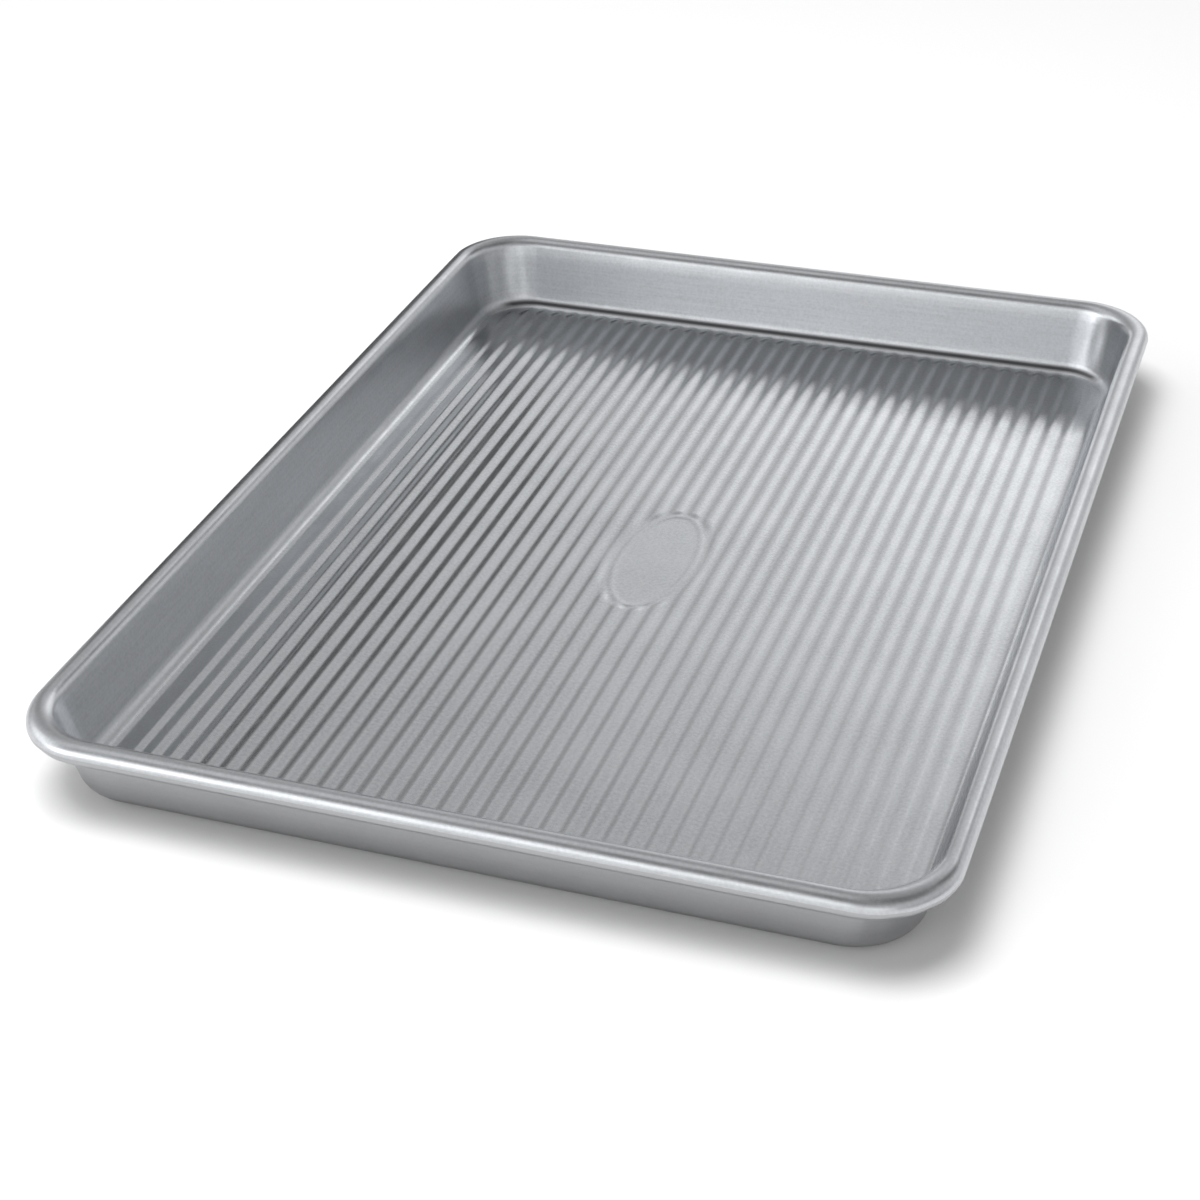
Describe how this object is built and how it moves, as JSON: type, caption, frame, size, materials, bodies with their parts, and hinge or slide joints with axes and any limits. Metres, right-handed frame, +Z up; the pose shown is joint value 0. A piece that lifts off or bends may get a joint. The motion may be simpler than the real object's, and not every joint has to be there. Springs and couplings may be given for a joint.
{
  "type": "quarter sheet pan",
  "caption": "Shallow rectangular baking pan with a fluted floor, drafted walls, rounded corners and a rolled rim stiffened by a wire.",
  "frame": {"origin": "on the table, under the middle of the pan", "axes": "+Z up out of the pan, +Y along the long sides and the flutes, +X across the flutes"},
  "size_m": [0.241, 0.33, 0.0242],
  "materials": {
    "coated_sheet": "satin grey, clear release coating over aluminised steel sheet",
    "wire": "drawn steel wire"
  },
  "bodies": {
    "root": {"pan_body": "coated_sheet", "rim_wire": "wire"}
  },
  "joints": []
}
